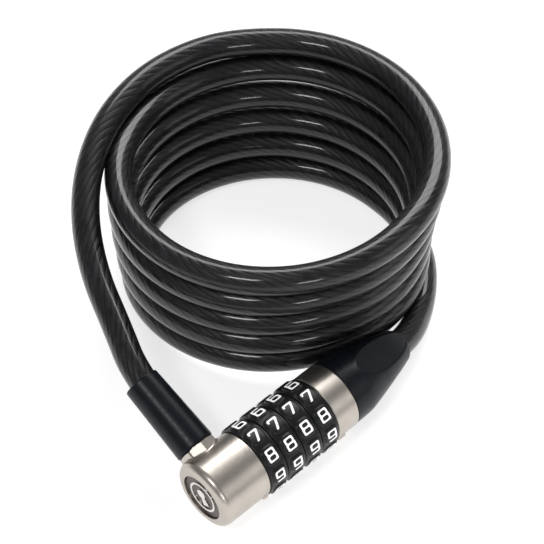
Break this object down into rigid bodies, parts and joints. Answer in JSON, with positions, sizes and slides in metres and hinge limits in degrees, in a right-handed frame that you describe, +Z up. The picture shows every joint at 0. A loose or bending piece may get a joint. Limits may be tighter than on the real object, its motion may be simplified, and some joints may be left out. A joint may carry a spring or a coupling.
{
  "type": "cable combination lock",
  "caption": "Combination cable lock: round nickel head and end ring about black number dials, a plug that pulls out of the head, and clad steel cable coiled beside it.",
  "frame": {"origin": "under the middle of the lock without its cable and plug, on the surface that it lies on", "axes": "+X along the lock's axis from the head to the rear boot, +Y the side that the plug goes in from, +Z up"},
  "size_m": [0.1594, 0.1447, 0.061],
  "materials": {
    "satin_nickel": "satin plated casting",
    "badge": "dark satin plate",
    "dial_black": "fine satin moulding",
    "boot_black": "soft matt moulding",
    "hard_steel": "turned steel",
    "spring_steel": "bright wire",
    "brass": "turned brass",
    "washer": "smooth",
    "seal": "smooth",
    "cable_clad": "glossy smoked plastic over steel strands",
    "strands": "bare twisted strands"
  },
  "bodies": {
    "lock": {"head_housing": "satin_nickel", "head_badge": "badge", "core_tube": "brass", "bolt_spring": "spring_steel", "spring_seat": "brass", "click_spring": "spring_steel", "spacer_washers": "washer", "end_ring": "satin_nickel", "ring_pins": "hard_steel", "rear_crimp": "hard_steel", "anchor_pins": "hard_steel", "rear_strands": "strands", "rear_boot": "boot_black", "cable_plug_tail": "cable_clad", "cable_lock_tail": "cable_clad", "cable_coil": "cable_clad"},
    "bolt": {"bolt": "hard_steel"},
    "plug": {"plug_pin": "hard_steel", "plug_seal": "seal", "plug_crimp": "hard_steel", "plug_strands": "strands", "plug_ferrule": "boot_black"},
    "dial_1": {"dial_1": "dial_black", "code_ring_1": "brass"},
    "dial_2": {"dial_2": "dial_black", "code_ring_2": "brass"},
    "dial_3": {"dial_3": "dial_black", "code_ring_3": "brass"},
    "dial_4": {"dial_4": "dial_black", "code_ring_4": "brass"}
  },
  "joints": [
    {"name": "dial_1_turn", "type": "hinge", "parent": "lock", "child": "dial_1", "pos_m": [-0.02344, -0.00107, 0.0135], "axis": [1, 0, 0], "continuous": true, "deforming": ["click_spring"]},
    {"name": "dial_2_turn", "type": "hinge", "parent": "lock", "child": "dial_2", "pos_m": [-0.01549, -0.00107, 0.0135], "axis": [1, 0, 0], "continuous": true, "deforming": ["click_spring"]},
    {"name": "dial_3_turn", "type": "hinge", "parent": "lock", "child": "dial_3", "pos_m": [-0.00754, -0.00107, 0.0135], "axis": [1, 0, 0], "continuous": true, "deforming": ["click_spring"]},
    {"name": "dial_4_turn", "type": "hinge", "parent": "lock", "child": "dial_4", "pos_m": [0.00041, -0.00107, 0.0135], "axis": [1, 0, 0], "continuous": true, "deforming": ["click_spring"]},
    {"name": "plug_slide", "type": "slide", "parent": "lock", "child": "plug", "axis": [0, 0.9336, 0.3584], "range_m": [0, 0.016], "deforming": ["cable_plug_tail"]},
    {"name": "bolt_slide", "type": "slide", "parent": "lock", "child": "bolt", "axis": [-1, 0, 0], "range_m": [0, 0.0024], "stiffness_N_per_m": 150, "springref_m": 0.005, "deforming": ["bolt_spring"]}
  ]
}
